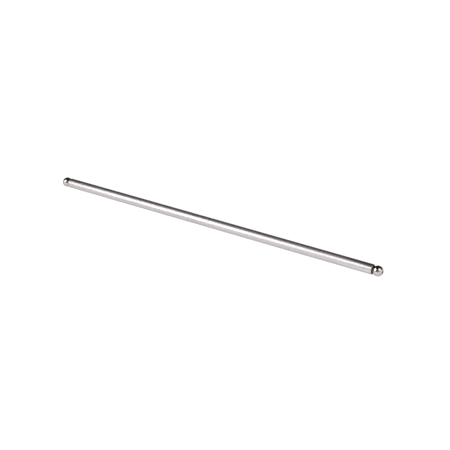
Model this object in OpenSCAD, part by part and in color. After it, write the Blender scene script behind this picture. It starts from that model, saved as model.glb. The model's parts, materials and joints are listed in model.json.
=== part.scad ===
// Engine pushrod: a ground steel tube with a polished ball end pressed into each of its ends.
// The rod lies along X with its middle at the origin, and the rocker end points to +X.

/* [Rod] */
// Overall length, over the tips of both balls
overall_len = 292; // [120:0.5:450]

/* [Tube] */
// Outside diameter of the tube
tube_d = 7.75; // [6.5:0.05:9]
// Wall thickness of the tube
tube_wall = 1.65; // [1.1:0.05:2.2]
// Chamfer on the outer edge of each tube end
rim_chamfer = 0.25; // [0.05:0.05:0.4]
// Chamfer on the edge of the bore at each tube end
bore_chamfer = 0.25; // [0.05:0.05:0.4]

/* [Ball ends] */
// Diameter of the ball
ball_d = 7.94; // [6.5:0.02:11]
// Width of the ring on which the shoulder seats on the tube's end face
seat_w = 0.4; // [0.1:0.05:0.6]
// Length of the neck, from the tube's end face to where the neck would meet the ball
neck_len = 0.9; // [0.3:0.05:3]
// Radius of the fillet between the neck and the ball
neck_fillet = 0.5; // [0.1:0.05:0.8]
// Length of the stem inside the tube
stem_len = 12; // [5:0.5:30]
// Lead-in chamfer at the inner end of the stem
stem_lead = 0.5; // [0.1:0.05:0.9]
// Radial clearance between the stem and the bore
stem_clearance = 0.01; // [0.005:0.005:0.03]

/* [Oil passage] */
// Diameter of the oil hole through each ball end
oil_hole_d = 2; // [1:0.1:2.4]
// Depth of the countersink at the mouth of the oil hole
oil_sink = 0.35; // [0.1:0.05:0.6]

/* [Hidden] */
$fn = 96;

// How far cutting shapes run past what they cut
overcut = 1;

tube_r = tube_d / 2;
bore_r = tube_r - tube_wall;
ball_r = ball_d / 2;
stem_r = bore_r - stem_clearance;
oil_r = oil_hole_d / 2;
oil_mouth_r = oil_r + oil_sink;

// The shoulder covers the bore's chamfer and the seat around it
neck_r = bore_r + bore_chamfer + seat_w;

// Heights along a ball end, above the end face of the tube
ball_h = neck_len + sqrt(ball_r ^ 2 - neck_r ^ 2);
tip_h = ball_h + sqrt(ball_r ^ 2 - oil_mouth_r ^ 2);

// The fillet's arc touches the neck and the ball, so its centre is one fillet radius from each
fillet_x = neck_r + neck_fillet;
fillet_h = ball_h - sqrt((ball_r + neck_fillet) ^ 2 - fillet_x ^ 2);

tube_len = overall_len - 2 * tip_h;
tube_half = tube_len / 2;

steel_ground = [0.74, 0.73, 0.73];
steel_polished = [0.62, 0.61, 0.62];

// Half section of the tube, with radius along x and length along y
module tube_section() {
  polygon([
    [bore_r, -tube_half + bore_chamfer],
    [bore_r + bore_chamfer, -tube_half],
    [tube_r - rim_chamfer, -tube_half],
    [tube_r, -tube_half + rim_chamfer],
    [tube_r, tube_half - rim_chamfer],
    [tube_r - rim_chamfer, tube_half],
    [bore_r + bore_chamfer, tube_half],
    [bore_r, tube_half - bore_chamfer]
  ]);
}

// Half section of the stem, from its lead-in chamfer up into the ball
module stem_section() {
  polygon([
    [0, -stem_len],
    [stem_r - stem_lead, -stem_len],
    [stem_r, -stem_len + stem_lead],
    [stem_r, ball_h],
    [0, ball_h]
  ]);
}

// Half section of the neck, which flares into the ball along the fillet
module neck_section() {
  difference() {
    polygon([
      [0, -ball_d],
      [neck_r, -ball_d],
      [neck_r, fillet_h],
      [fillet_x, fillet_h],
      [0, ball_h]
    ]);
    translate([fillet_x, fillet_h]) circle(r = neck_fillet);
  }
}

// Half section of the ball and neck, cut off flat at the shoulder that seats on the tube
module head_section() {
  intersection() {
    union() {
      translate([0, ball_h]) circle(r = ball_r);
      neck_section();
    }
    square([ball_d, ball_h + ball_d]);
  }
}

// Half section of the oil hole, with its countersunk mouth at the tip of the ball
module oil_section() {
  polygon([
    [0, -stem_len - overcut],
    [oil_r, -stem_len - overcut],
    [oil_r, tip_h - oil_sink],
    [oil_mouth_r + overcut, tip_h + overcut],
    [0, tip_h + overcut]
  ]);
}

// A ball end standing on z = 0, with its stem below and its oil hole along z
module ball_end() {
  rotate_extrude() difference() {
    union() {
      stem_section();
      head_section();
    }
    oil_section();
  }
}

module tube() {
  color(steel_ground) rotate([0, 90, 0]) rotate_extrude() tube_section();
}

module rocker_ball_end() {
  color(steel_polished) translate([tube_half, 0, 0]) rotate([0, 90, 0]) ball_end();
}

module lifter_ball_end() {
  color(steel_polished) translate([-tube_half, 0, 0]) rotate([0, -90, 0]) ball_end();
}

tube();
rocker_ball_end();
lifter_ball_end();
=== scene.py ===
import json
import math

import bmesh
import bpy
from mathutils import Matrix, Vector


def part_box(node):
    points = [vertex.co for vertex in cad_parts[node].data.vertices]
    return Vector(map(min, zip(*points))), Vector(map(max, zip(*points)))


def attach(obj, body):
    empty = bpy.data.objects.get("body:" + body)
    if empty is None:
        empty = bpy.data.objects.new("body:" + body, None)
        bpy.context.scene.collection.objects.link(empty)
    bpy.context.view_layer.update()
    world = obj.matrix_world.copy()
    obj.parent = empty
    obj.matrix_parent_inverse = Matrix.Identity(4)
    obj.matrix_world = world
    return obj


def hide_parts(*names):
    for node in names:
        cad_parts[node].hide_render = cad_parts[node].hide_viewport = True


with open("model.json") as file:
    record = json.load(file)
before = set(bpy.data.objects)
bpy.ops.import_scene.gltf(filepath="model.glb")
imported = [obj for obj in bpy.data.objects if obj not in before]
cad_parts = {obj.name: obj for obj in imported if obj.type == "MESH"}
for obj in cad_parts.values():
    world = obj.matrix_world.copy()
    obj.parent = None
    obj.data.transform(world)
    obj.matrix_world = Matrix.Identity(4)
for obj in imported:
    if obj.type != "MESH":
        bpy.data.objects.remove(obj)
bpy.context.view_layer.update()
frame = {"record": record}
bpy.ops.object.select_all(action="DESELECT")
bpy.context.scene.view_settings.view_transform = "Standard"

mm = 0.001               # the frame is in metres
near = 0.005 * mm        # how close a vertex has to be to count as on a ring
cutNear = near / 50      # how close to a cut an old vertex has to be to stand for it
hair = 0.0001 * mm       # keeps the ball inside the solid's box

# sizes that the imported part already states
mounts = {}
for mount in frame["record"]["mounts"]:
    mounts[mount["name"]] = mount
shank = mounts["guide_shank"]["dims"]
tubeRadius = shank["r_mm"] * mm
shankHalf = shank["length_mm"] * mm / 2      # half the straight part, between the chamfers
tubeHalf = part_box("tube")[1].x
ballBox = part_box("rocker_ball_end")
ballRadius = min(ballBox[1].y, ballBox[1].z) - hair
ballX = mounts["rocker_ball"]["pos_m"][0]
oilRadius = mounts["rocker_oil_port"]["dims"]["r_mm"] * mm
stemX = ballBox[0].x     # inner end of the pressed stem
tipX = ballBox[1].x      # flat rim of the oil hole
floorZ = -ballRadius     # the rod lies on its two balls
print(f"pushrod frame: tube {2 * tubeHalf / mm:.1f} mm long, balls {2 * ballRadius / mm:.2f} mm across")


def linear(hexColour):
    # sRGB hex to the linear colour that shaders take
    channels = []
    for start in (0, 2, 4):
        value = int(hexColour[start:start + 2], 16) / 255
        channels.append(value / 12.92 if value <= 0.04045 else ((value + 0.055) / 1.055) ** 2.4)
    return (*channels, 1.0)


def addNode(tree, kind, settings=None, sockets=None):
    # one node with its settings; a socket takes a value, or the output that feeds it
    node = tree.nodes.new("ShaderNode" + kind)
    for name, value in (settings or {}).items():
        setattr(node, name, value)
    for name, value in (sockets or {}).items():
        if isinstance(value, bpy.types.NodeSocket):
            tree.links.new(value, node.inputs[name])
        else:
            node.inputs[name].default_value = value
    return node


def startMaterial(name):
    material = bpy.data.materials.new(name)
    material.use_nodes = True
    material.node_tree.nodes.clear()
    return material, material.node_tree


def finishMaterial(material, tree, shader):
    addNode(tree, "OutputMaterial", sockets={"Surface": shader.outputs[0]})
    return material


def pick(kind, test):
    # selects the edges or faces of the edited mesh that pass the test
    bpy.ops.mesh.select_mode(type=kind)
    bpy.ops.mesh.select_all(action="DESELECT")
    data = bpy.context.edit_object.data
    mesh = bmesh.from_edit_mesh(data)
    for item in {"EDGE": mesh.edges, "FACE": mesh.faces}[kind]:
        if test(item):
            item.select_set(True)
    mesh.select_flush_mode()
    bmesh.update_edit_mesh(data)


def pickCut(x):
    # selects the edges that lie in the cut across the rod at x
    pick("EDGE", lambda edge: all(abs(vert.co.x - x) < near for vert in edge.verts))


def ringTest(x, radius):
    # true for an edge of the ring at this place along the rod and this radius
    def onRing(edge):
        for vert in edge.verts:
            if abs(vert.co.x - x) > near:
                return False
            if abs(math.hypot(vert.co.y, vert.co.z) - radius) > near:
                return False
        return True
    return onRing


def pullRing(stations):
    # extrudes the picked ring from station to station; a station is (x, radius)
    for (x, radius), (nextX, nextRadius) in zip(stations, stations[1:]):
        grow = nextRadius / radius
        bpy.ops.mesh.extrude_region_move(TRANSFORM_OT_translate={"value": (nextX - x, 0, 0)})
        bpy.ops.transform.resize(value=(1, grow, grow), center_override=(nextX, 0, 0))


def bevelRings(rings, width, segments):
    for x, radius in rings:
        pick("EDGE", ringTest(x, radius))
        bpy.ops.mesh.bevel(offset=width, offset_type="OFFSET", segments=segments, affect="EDGES")


def finishMesh(piece, smoothAngle):
    bpy.ops.object.mode_set(mode="OBJECT")
    bpy.ops.object.shade_smooth_by_angle(angle=math.radians(smoothAngle))
    weights = piece.modifiers.new("faceWeights", "WEIGHTED_NORMAL")
    weights.keep_sharp = True
    bpy.ops.object.modifier_apply(modifier=weights.name)


def paint(piece, materials, choose):
    # gives each face the index of its material, by its centre and the way it faces
    for material in materials:
        piece.data.materials.append(material)
    for face in piece.data.polygons:
        face.material_index = choose(face.center, face.normal)


# materials

white = linear("FFFFFF")
noiseRange = {"From Min": 0.3, "From Max": 0.7}      # where most of a noise texture's values lie
wavePitch = 0.314                                    # a wave texture of scale 1 repeats after this much

groundSteel = {
    "light": "DAD7D8",
    "dark": "D3D0D1",
    "edgeTint": "B4B0B1",        # iron mirrors less at a glancing angle than a plain metal would
    "roughness": (0.51, 0.59),
    "anisotropy": 0.62,          # the lines run round, so the gloss spreads along the rod
    "glossTurn": 0.25,           # a quarter turn, from round the rod to along it
    "linePitch": 0.30 * mm,      # real ones are about 0.02 mm apart; drawn coarser so that they show
    "lineLength": 6.0 * mm,
    "cloudSize": 9.0 * mm,
    "lineDepth": 0.0016 * mm,
    "burnish": 0.15,             # how much smoother the rocker end is, where it runs in its guide
    "burnishLength": 32.0 * mm,
}


def makeGroundSteel(spec):
    # centreless-ground steel tube: satin, fine lines that run round it, a faint cloudiness along it
    material, tree = startMaterial("centrelessGroundSteel")
    place = addNode(tree, "TexCoord").outputs["Object"]
    lineScale = (1 / spec["linePitch"], 1 / spec["lineLength"], 1 / spec["lineLength"])
    lineMap = addNode(tree, "Mapping", sockets={"Vector": place, "Scale": lineScale})
    lines = addNode(tree, "TexNoise", sockets={
        "Vector": lineMap.outputs["Vector"], "Scale": 1.0, "Detail": 2.0, "Roughness": 0.55})
    clouds = addNode(tree, "TexNoise", sockets={
        "Vector": place, "Scale": 1 / spec["cloudSize"], "Detail": 3.0, "Roughness": 0.6})
    low, high = spec["roughness"]
    rough = addNode(tree, "MapRange", sockets={
        "Value": lines.outputs["Fac"], **noiseRange, "To Min": low, "To Max": high})
    along = addNode(tree, "SeparateXYZ", sockets={0: place}).outputs["X"]
    rubbed = addNode(tree, "MapRange", {"interpolation_type": "SMOOTHSTEP"}, {
        "Value": along, "From Min": tubeHalf - spec["burnishLength"], "From Max": tubeHalf,
        "To Min": 0.0, "To Max": spec["burnish"]})
    gloss = addNode(tree, "Math", {"operation": "SUBTRACT"}, {
        0: rough.outputs["Result"], 1: rubbed.outputs["Result"]})
    colour = addNode(tree, "Mix", {"data_type": "RGBA"}, {
        "Factor": clouds.outputs["Fac"], "A": linear(spec["dark"]), "B": linear(spec["light"])})
    bump = addNode(tree, "Bump", sockets={
        "Height": lines.outputs["Fac"], "Strength": 1.0, "Distance": spec["lineDepth"]})
    roundRod = addNode(tree, "Tangent", {"direction_type": "RADIAL", "axis": "X"})
    shader = addNode(tree, "BsdfPrincipled", sockets={
        "Base Color": colour.outputs["Result"], "Metallic": 1.0,
        "Specular Tint": linear(spec["edgeTint"]),
        "Anisotropic": spec["anisotropy"], "Anisotropic Rotation": spec["glossTurn"],
        "Tangent": roundRod.outputs["Tangent"],
        "Roughness": gloss.outputs["Value"], "Normal": bump.outputs["Normal"]})
    return finishMaterial(material, tree, shader)


facedSteel = {
    "light": "5E585A",
    "dark": "403B3C",
    "roughness": 0.30,
    "ringPitch": 0.12 * mm,
    "ringDepth": 0.002 * mm,
    "stainSize": 1.5 * mm,
}


def makeFacedSteel(spec):
    # the tube's faced ends, their chamfers and the bore: fine turned rings, darker than the outside;
    # the dark colour is painted shade for the gap between tube and ball and for the bore
    material, tree = startMaterial("facedTubeSteel")
    place = addNode(tree, "TexCoord").outputs["Object"]
    rings = addNode(tree, "TexWave", {"wave_type": "RINGS", "rings_direction": "X"}, {
        "Vector": place, "Scale": wavePitch / spec["ringPitch"], "Distortion": 0.4, "Detail": 1.0})
    stain = addNode(tree, "TexNoise", sockets={
        "Vector": place, "Scale": 1 / spec["stainSize"], "Detail": 3.0})
    # painted shade: both colours are dark for the shade at the tube's end and in the bore
    colour = addNode(tree, "Mix", {"data_type": "RGBA"}, {
        "Factor": stain.outputs["Fac"], "A": linear(spec["dark"]), "B": linear(spec["light"])})
    bump = addNode(tree, "Bump", sockets={
        "Height": rings.outputs["Fac"], "Strength": 1.0, "Distance": spec["ringDepth"]})
    shader = addNode(tree, "BsdfPrincipled", sockets={
        "Base Color": colour.outputs["Result"], "Metallic": 1.0,
        "Roughness": spec["roughness"], "Normal": bump.outputs["Normal"]})
    return finishMaterial(material, tree, shader)


polishedSteel = {
    "light": "D2C9C6",
    "dark": "C4BBB8",
    "edgeTint": "A09C9D",
    "roughness": (0.05, 0.10),
    "scratchPitch": 0.15 * mm,   # real ones are a few thousandths wide; drawn coarser so that they show
    "scratchLength": 3.0 * mm,
    "scratchTilt": (0.0, 0.15, 0.25),
    "smearSize": 2.5 * mm,
    "scratchDepth": 0.0008 * mm,
}


def makePolishedSteel(spec):
    # hardened and lapped ball: almost a mirror, with faint lapping scratches round its axis
    material, tree = startMaterial("lappedHardenedSteel")
    place = addNode(tree, "TexCoord").outputs["Object"]
    scratchScale = (1 / spec["scratchPitch"], 1 / spec["scratchLength"], 1 / spec["scratchLength"])
    scratchMap = addNode(tree, "Mapping", sockets={
        "Vector": place, "Scale": scratchScale, "Rotation": spec["scratchTilt"]})
    scratches = addNode(tree, "TexNoise", sockets={
        "Vector": scratchMap.outputs["Vector"], "Scale": 1.0, "Detail": 2.0})
    smears = addNode(tree, "TexNoise", sockets={
        "Vector": place, "Scale": 1 / spec["smearSize"], "Detail": 2.0})
    low, high = spec["roughness"]
    rough = addNode(tree, "MapRange", sockets={
        "Value": smears.outputs["Fac"], **noiseRange, "To Min": low, "To Max": high})
    colour = addNode(tree, "Mix", {"data_type": "RGBA"}, {
        "Factor": smears.outputs["Fac"], "A": linear(spec["dark"]), "B": linear(spec["light"])})
    bump = addNode(tree, "Bump", sockets={
        "Height": scratches.outputs["Fac"], "Strength": 1.0, "Distance": spec["scratchDepth"]})
    shader = addNode(tree, "BsdfPrincipled", sockets={
        "Base Color": colour.outputs["Result"], "Metallic": 1.0,
        "Specular Tint": linear(spec["edgeTint"]),
        "Roughness": rough.outputs["Result"], "Normal": bump.outputs["Normal"]})
    return finishMaterial(material, tree, shader)


darkenedSteel = {
    "light": "7A7173",
    "dark": "534C4E",
    "roughness": (0.28, 0.42),
    "turnPitch": 0.15 * mm,
    "turnDepth": 0.006 * mm,
    "mottleSize": 0.8 * mm,
}


def makeDarkenedSteel(spec):
    # turned neck and drilled oil hole: fine tool rings, under a dark colour that is painted shade for
    # the groove between ball and tube and for the inside of the hole
    material, tree = startMaterial("darkNeckSteelPaintedShade")
    place = addNode(tree, "TexCoord").outputs["Object"]
    turning = addNode(tree, "TexWave", {"wave_type": "BANDS", "bands_direction": "X"}, {
        "Vector": place, "Scale": wavePitch / spec["turnPitch"], "Distortion": 0.6, "Detail": 1.0})
    mottle = addNode(tree, "TexNoise", sockets={
        "Vector": place, "Scale": 1 / spec["mottleSize"], "Detail": 4.0})
    low, high = spec["roughness"]
    rough = addNode(tree, "MapRange", sockets={
        "Value": mottle.outputs["Fac"], **noiseRange, "To Min": low, "To Max": high})
    # painted shade: both colours are dark for the shade in the groove and the hole; the noise only
    # varies them
    colour = addNode(tree, "Mix", {"data_type": "RGBA"}, {
        "Factor": mottle.outputs["Fac"], "A": linear(spec["dark"]), "B": linear(spec["light"])})
    bump = addNode(tree, "Bump", sockets={
        "Height": turning.outputs["Fac"], "Strength": 1.0, "Distance": spec["turnDepth"]})
    shader = addNode(tree, "BsdfPrincipled", sockets={
        "Base Color": colour.outputs["Result"], "Metallic": 1.0,
        "Roughness": rough.outputs["Result"], "Normal": bump.outputs["Normal"]})
    return finishMaterial(material, tree, shader)


tubeSteel = makeGroundSteel(groundSteel)
endSteel = makeFacedSteel(facedSteel)
ballSteel = makePolishedSteel(polishedSteel)
neckSteel = makeDarkenedSteel(darkenedSteel)
print("materials: ground tube, faced end, lapped ball, darkened neck")


# the tube: a ground steel cylinder, bored through, chamfered outside and at the bore

tubeShape = {
    "sides": 160,
    "wall": 1.65 * mm,
    "boreChamfer": 0.25 * mm,
    "chamferSteps": 1,
    "edgeRound": 0.06 * mm,      # the slight rounding that tumbling leaves on each edge
    "edgeSteps": 2,
    "supportLoop": 0.7 * mm,     # an extra ring behind the rim keeps the long sides' shading straight
    "endNormal": 0.9,            # a normal with more than this along the rod is an end's
    "sideNormal": 0.6,           # and one with less than this is the outside's, not the chamfer's
    "smoothAngle": 34,
}


def makeTube(spec):
    bpy.ops.mesh.primitive_cylinder_add(
        vertices=spec["sides"], radius=tubeRadius, depth=2 * tubeHalf, rotation=(0, math.pi / 2, 0))
    tube = bpy.context.object
    tube.name = "groundTube"
    bpy.ops.object.transform_apply(location=True, rotation=True, scale=True)
    boreRadius = tubeRadius - spec["wall"]
    rim = tubeHalf - shankHalf
    bpy.ops.object.mode_set(mode="EDIT")
    # the bore: each end inset by the wall, then the two discs bridged
    pick("FACE", lambda face: abs(face.normal.x) > spec["endNormal"])
    bpy.ops.mesh.inset(thickness=spec["wall"])
    bpy.ops.mesh.bridge_edge_loops()
    ends = (-tubeHalf, tubeHalf)
    bevelRings([(x, tubeRadius) for x in ends], rim, spec["chamferSteps"])
    bevelRings([(x, boreRadius) for x in ends], spec["boreChamfer"], spec["chamferSteps"])
    for side in (-1, 1):
        edges = [
            (side * shankHalf, tubeRadius),
            (side * tubeHalf, tubeRadius - rim),
            (side * tubeHalf, boreRadius + spec["boreChamfer"]),
        ]
        bevelRings(edges, spec["edgeRound"], spec["edgeSteps"])
    for side in (-1, 1):
        bpy.ops.mesh.select_all(action="SELECT")
        cutX = side * (shankHalf - spec["supportLoop"])
        bpy.ops.mesh.bisect(plane_co=(cutX, 0, 0), plane_no=(1, 0, 0), threshold=near)
    bpy.ops.mesh.select_all(action="SELECT")
    bpy.ops.mesh.normals_make_consistent(inside=False)
    finishMesh(tube, spec["smoothAngle"])

    def tubeFinish(centre, normal):
        # the outside and its rounded edge are ground; chamfers, end faces and bore are faced
        outside = math.hypot(centre.y, centre.z) > tubeRadius - spec["edgeRound"]
        return 0 if outside and abs(normal.x) < spec["sideNormal"] else 1
    paint(tube, [tubeSteel, endSteel], tubeFinish)
    return tube


tubePiece = makeTube(tubeShape)
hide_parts("tube")
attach(tubePiece, "root")
print(f"tube: {len(tubePiece.data.polygons)} faces")


# the ball ends: a lapped ball on a waisted neck, a stem in the tube and an oil hole right through

ballShape = {
    "segments": 160,
    "rings": 104,
    "neckRadius": 2.875 * mm,
    "neckFillet": 0.5 * mm,
    "filletSteps": 8,
    "stemRadius": 2.215 * mm,
    "stemLead": 0.5 * mm,
    "mouthSink": 0.35 * mm,      # depth of the countersink in the tip
    "mouthRound": 0.07 * mm,
    "mouthSteps": 3,
    "smoothAngle": 34,
}


def makeBallEnd(spec):
    neckRadius = spec["neckRadius"]
    stemRadius = spec["stemRadius"]
    stemLead = spec["stemLead"]
    fillet = spec["neckFillet"]
    # the fillet is tangent to the neck and to the ball, so its centre follows from both
    filletRadius = neckRadius + fillet
    filletX = ballX - math.sqrt((ballRadius + fillet) ** 2 - filletRadius ** 2)
    sweep = math.atan2(ballX - filletX, filletRadius)
    touchX = filletX + fillet * math.sin(sweep)
    touchRadius = filletRadius - fillet * math.cos(sweep)
    mouthRadius = math.sqrt(ballRadius ** 2 - (tipX - ballX) ** 2)
    sinkX = tipX - spec["mouthSink"]

    bpy.ops.mesh.primitive_uv_sphere_add(
        segments=spec["segments"], ring_count=spec["rings"], radius=ballRadius,
        location=(ballX, 0, 0), rotation=(0, math.pi / 2, 0))
    ball = bpy.context.object
    ball.name = "rockerBallEnd"
    bpy.ops.object.transform_apply(location=True, rotation=True, scale=True)
    bpy.ops.object.mode_set(mode="EDIT")
    for cutX, outward in ((tipX, 1), (touchX, -1)):
        bpy.ops.mesh.select_all(action="SELECT")
        bpy.ops.mesh.bisect(
            plane_co=(cutX, 0, 0), plane_no=(outward, 0, 0), clear_outer=True, threshold=cutNear)
    # countersink and oil hole, right through the stem
    pickCut(tipX)
    pullRing([(tipX, mouthRadius), (sinkX, oilRadius), (stemX, oilRadius)])
    # fillet, neck, seat, stem and the stem's lead, back to the oil hole
    pickCut(touchX)
    stations = [(touchX, touchRadius)]
    for step in range(1, spec["filletSteps"] + 1):
        angle = sweep * (1 - step / spec["filletSteps"])
        stations.append((filletX + fillet * math.sin(angle), filletRadius - fillet * math.cos(angle)))
    stations += [
        (tubeHalf, neckRadius),
        (tubeHalf, stemRadius),
        (stemX + stemLead, stemRadius),
        (stemX, stemRadius - stemLead),
        (stemX, oilRadius),
    ]
    pullRing(stations)
    bpy.ops.mesh.select_all(action="SELECT")
    bpy.ops.mesh.remove_doubles(threshold=near)
    bpy.ops.mesh.normals_make_consistent(inside=False)
    bevelRings([(tipX, mouthRadius), (sinkX, oilRadius)], spec["mouthRound"], spec["mouthSteps"])
    finishMesh(ball, spec["smoothAngle"])

    def ballFinish(centre, normal):
        # the ball and the oil hole's lip are lapped; fillet, neck, stem and hole get the dark steel,
        # whose colour is painted shade
        inHole = math.hypot(centre.y, centre.z) < mouthRadius - spec["mouthRound"] and centre.x < tipX
        return 1 if inHole or centre.x < touchX else 0
    paint(ball, [ballSteel, neckSteel], ballFinish)
    return ball


def turnCopy(piece, name):
    # the same end for the lifter: copied with its own mesh and turned half round
    bpy.ops.object.select_all(action="DESELECT")
    piece.select_set(True)
    bpy.context.view_layer.objects.active = piece
    bpy.ops.object.duplicate()
    copy = bpy.context.object
    copy.name = name
    bpy.ops.transform.rotate(value=math.pi, orient_axis="Z", center_override=(0, 0, 0))
    bpy.ops.object.transform_apply(location=True, rotation=True, scale=True)
    return copy


rockerPiece = makeBallEnd(ballShape)
lifterPiece = turnCopy(rockerPiece, "lifterBallEnd")
for piece, node in ((rockerPiece, "rocker_ball_end"), (lifterPiece, "lifter_ball_end")):
    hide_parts(node)
    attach(piece, "root")
print(f"ball ends: {len(rockerPiece.data.polygons)} faces each")


# studio: white floor, dark cloth above it, two softboxes

studio = {
    "floorSize": 60.0,
    "floorColour": "A4A4A4",
    "glow": (0.84, 1.0),         # white that the floor shows by itself: beside the rod, and far from it
    "glowReach": (0.06, 0.24),   # metres from the rod's middle over which it rises
    "contactShade": 0.74,        # share of it that the metal shows under the rod: painted shade, where the rod keeps light off the paper
    "contactReach": (4 * mm, 16 * mm),
    "roomTone": (0.036, 0.034),  # the unlit room as the metal shows it: low down, and overhead
    "roomTop": 0.8,              # share of the dome's height where overhead begins
    "roomTint": "F0D8D2",
    "hemTone": 0.40,             # painted light on the cloth's foot, where the floor would light it
    "hemHeight": 26,             # degrees up to which that shows
    "frontTone": 0.25,           # painted light: the lit part of the room, at the front
    "frontWay": (0.49, -0.80, 0.34),
    "frontSpan": (0.65, 1.0),    # cosines of the angle from that way, at its edge and its middle
    "roomRadius": 3.0,
    "roomSides": 72,
    "roomRings": 36,
    "openSide": (55, 125),       # degrees round from the front; the room is open to the white there
    "openHeight": 25,            # and up to this many degrees
}


def whiteShare(tree, mirrorShare):
    # white to the camera, and the given share of it in what the metal mirrors
    rays = addNode(tree, "LightPath")
    mirrored = addNode(tree, "Math", {"operation": "MAXIMUM"}, {
        0: rays.outputs["Is Glossy Ray"], 1: rays.outputs["Is Transmission Ray"]})
    return addNode(tree, "Math", {"operation": "MULTIPLY_ADD"}, {
        0: mirrored.outputs["Value"], 1: mirrorShare, 2: rays.outputs["Is Camera Ray"]})


def makeFloorPaint(spec):
    # white sweep: reads white to the camera and in the metal, and still takes the rod's shadow
    material, tree = startMaterial("whiteSweepPaper")
    place = addNode(tree, "TexCoord").outputs["Object"]
    across = addNode(tree, "SeparateXYZ", sockets={0: place}).outputs["Y"]
    aside = addNode(tree, "Math", {"operation": "ABSOLUTE"}, {0: across})
    # painted shade: the glow that the metal mirrors is turned down near the rod's axis
    contact = addNode(tree, "MapRange", {"interpolation_type": "SMOOTHSTEP"}, {
        "Value": aside.outputs["Value"],
        "From Min": spec["contactReach"][0], "From Max": spec["contactReach"][1],
        "To Min": spec["contactShade"], "To Max": 1.0})
    shown = whiteShare(tree, contact.outputs["Result"])
    away = addNode(tree, "VectorMath", {"operation": "LENGTH"}, {0: place})
    glowHere = addNode(tree, "MapRange", sockets={
        "Value": away.outputs["Value"],
        "From Min": spec["glowReach"][0], "From Max": spec["glowReach"][1],
        "To Min": spec["glow"][0], "To Max": spec["glow"][1]})
    strength = addNode(tree, "Math", {"operation": "MULTIPLY"}, {
        0: shown.outputs["Value"], 1: glowHere.outputs["Result"]})
    glow = addNode(tree, "Emission", sockets={"Color": white, "Strength": strength.outputs["Value"]})
    paper = addNode(tree, "BsdfDiffuse", sockets={"Color": linear(spec["floorColour"])})
    both = addNode(tree, "AddShader", sockets={0: glow.outputs["Emission"], 1: paper.outputs["BSDF"]})
    return finishMaterial(material, tree, both)


def makeRoomCloth(spec):
    # black cloth that gives polished steel its dark half; its glow is painted light: a dim glow for the
    # unlit room, brighter at its foot, where the floor would light it, and at the front, for the lit
    # part of the room
    material, tree = startMaterial("blackBackdropCloth")
    radius = spec["roomRadius"]
    place = addNode(tree, "TexCoord").outputs["Object"]
    height = addNode(tree, "SeparateXYZ", sockets={0: place}).outputs["Z"]
    tone = addNode(tree, "MapRange", sockets={
        "Value": height, "From Min": 0.0, "From Max": spec["roomTop"] * radius,
        "To Min": spec["roomTone"][0], "To Max": spec["roomTone"][1]})
    hemTop = radius * math.sin(math.radians(spec["hemHeight"]))
    # painted light: the foot glows brighter, for the light the floor throws on it
    hem = addNode(tree, "MapRange", {"interpolation_type": "SMOOTHSTEP"}, {
        "Value": height, "From Min": 0.0, "From Max": hemTop,
        "To Min": spec["hemTone"], "To Max": 0.0})
    # painted light: the side facing the front glows brighter, for the lit room there
    facing = addNode(tree, "VectorMath", {"operation": "DOT_PRODUCT"}, {
        0: place, 1: spec["frontWay"]})
    front = addNode(tree, "MapRange", {"interpolation_type": "SMOOTHSTEP"}, {
        "Value": facing.outputs["Value"],
        "From Min": radius * spec["frontSpan"][0], "From Max": radius * spec["frontSpan"][1],
        "To Min": 0.0, "To Max": spec["frontTone"]})
    lower = addNode(tree, "Math", {"operation": "ADD"}, {
        0: tone.outputs["Result"], 1: hem.outputs["Result"]})
    whole = addNode(tree, "Math", {"operation": "ADD"}, {
        0: lower.outputs["Value"], 1: front.outputs["Result"]})
    material.cycles.emission_sampling = "NONE"       # too dim to count as a lamp
    cloth = addNode(tree, "Emission", sockets={
        "Color": linear(spec["roomTint"]), "Strength": whole.outputs["Value"]})
    return finishMaterial(material, tree, cloth)


def makeFloor(spec):
    bpy.ops.mesh.primitive_plane_add(size=spec["floorSize"], location=(0, 0, floorZ))
    floor = bpy.context.object
    floor.name = "floor"
    floor.data.materials.append(makeFloorPaint(spec))


def makeRoom(spec):
    # a dome of black cloth on the floor, open low on one side; the camera looks through it
    bpy.ops.mesh.primitive_uv_sphere_add(
        segments=spec["roomSides"], ring_count=spec["roomRings"], radius=spec["roomRadius"])
    room = bpy.context.object
    room.name = "darkRoom"

    def cutAway(face):
        centre = face.calc_center_median()
        around = math.degrees(math.atan2(centre.x, -centre.y))
        rise = math.degrees(math.asin(centre.z / spec["roomRadius"]))
        low, high = spec["openSide"]
        return rise < 0 or (low < around < high and rise < spec["openHeight"])
    bpy.ops.object.mode_set(mode="EDIT")
    pick("FACE", cutAway)
    bpy.ops.mesh.delete(type="FACE")
    bpy.ops.object.mode_set(mode="OBJECT")
    room.data.materials.append(makeRoomCloth(spec))
    room.visible_camera = False


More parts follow.
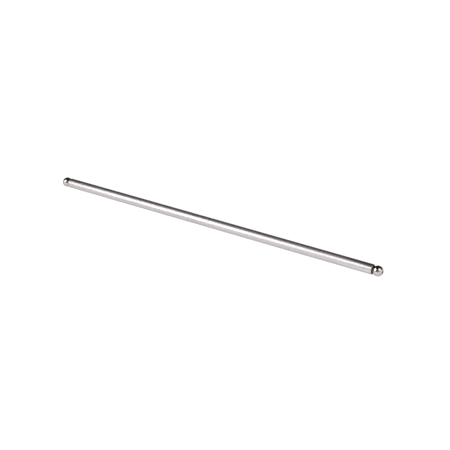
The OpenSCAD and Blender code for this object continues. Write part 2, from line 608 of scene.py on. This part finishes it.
def makeWorld():
    world = bpy.data.worlds.new("whiteSurround")
    bpy.context.scene.world = world
    world.use_nodes = True
    tree = world.node_tree
    tree.nodes.clear()
    sky = addNode(tree, "Background", sockets={
        "Color": white, "Strength": whiteShare(tree, 1.0).outputs["Value"]})
    addNode(tree, "OutputWorld", sockets={"Surface": sky.outputs["Background"]})


def aimed(azimuth, elevation, distance, centre):
    # a place round the rod, and the turn that looks back at it
    turn = math.radians(azimuth)
    rise = math.radians(elevation)
    back = Vector((math.sin(turn) * math.cos(rise), -math.cos(turn) * math.cos(rise), math.sin(rise)))
    return Vector(centre) + back * distance, (-back).to_track_quat("-Z", "Y").to_euler()


# round the near ball, where their highlights show best
softboxes = {
    "leftSoftbox": {
        "azimuth": -55.5, "elevation": 27.5, "distance": 0.465,
        "width": 0.275, "height": 0.33, "radiance": 1.9, "spread": 94},
    "rightSoftbox": {
        "azimuth": 77, "elevation": 50, "distance": 0.50,
        "width": 0.40, "height": 0.40, "radiance": 1.7, "spread": 180},
}


def makeSoftbox(name, spec):
    place, turn = aimed(spec["azimuth"], spec["elevation"], spec["distance"], (ballX, 0, 0))
    bpy.ops.object.light_add(type="AREA", location=place, rotation=turn)
    box = bpy.context.object
    box.name = name
    box.data.shape = "RECTANGLE"
    box.data.size = spec["width"]
    box.data.size_y = spec["height"]
    box.data.spread = math.radians(spec["spread"])       # under 180 it has a grid in front
    box.data.energy = spec["radiance"] * math.pi * spec["width"] * spec["height"]
    box.visible_camera = False


makeFloor(studio)
makeRoom(studio)
makeWorld()
for boxName, boxSpec in softboxes.items():
    makeSoftbox(boxName, boxSpec)

photoCamera = {
    "azimuth": 31.407,
    "elevation": 27.864,
    "distance": 757.8 * mm,
    "aim": (14.173 * mm, 0, 1.82 * mm),
    "sensor": 36,
    "lens": 78.312,
}
eye, look = aimed(
    photoCamera["azimuth"], photoCamera["elevation"], photoCamera["distance"], photoCamera["aim"])
bpy.ops.object.camera_add(location=eye, rotation=look)
camera = bpy.context.object
camera.data.sensor_width = photoCamera["sensor"]
camera.data.lens = photoCamera["lens"]
bpy.context.scene.camera = camera
print("studio: white floor, dark cloth, two softboxes, camera")
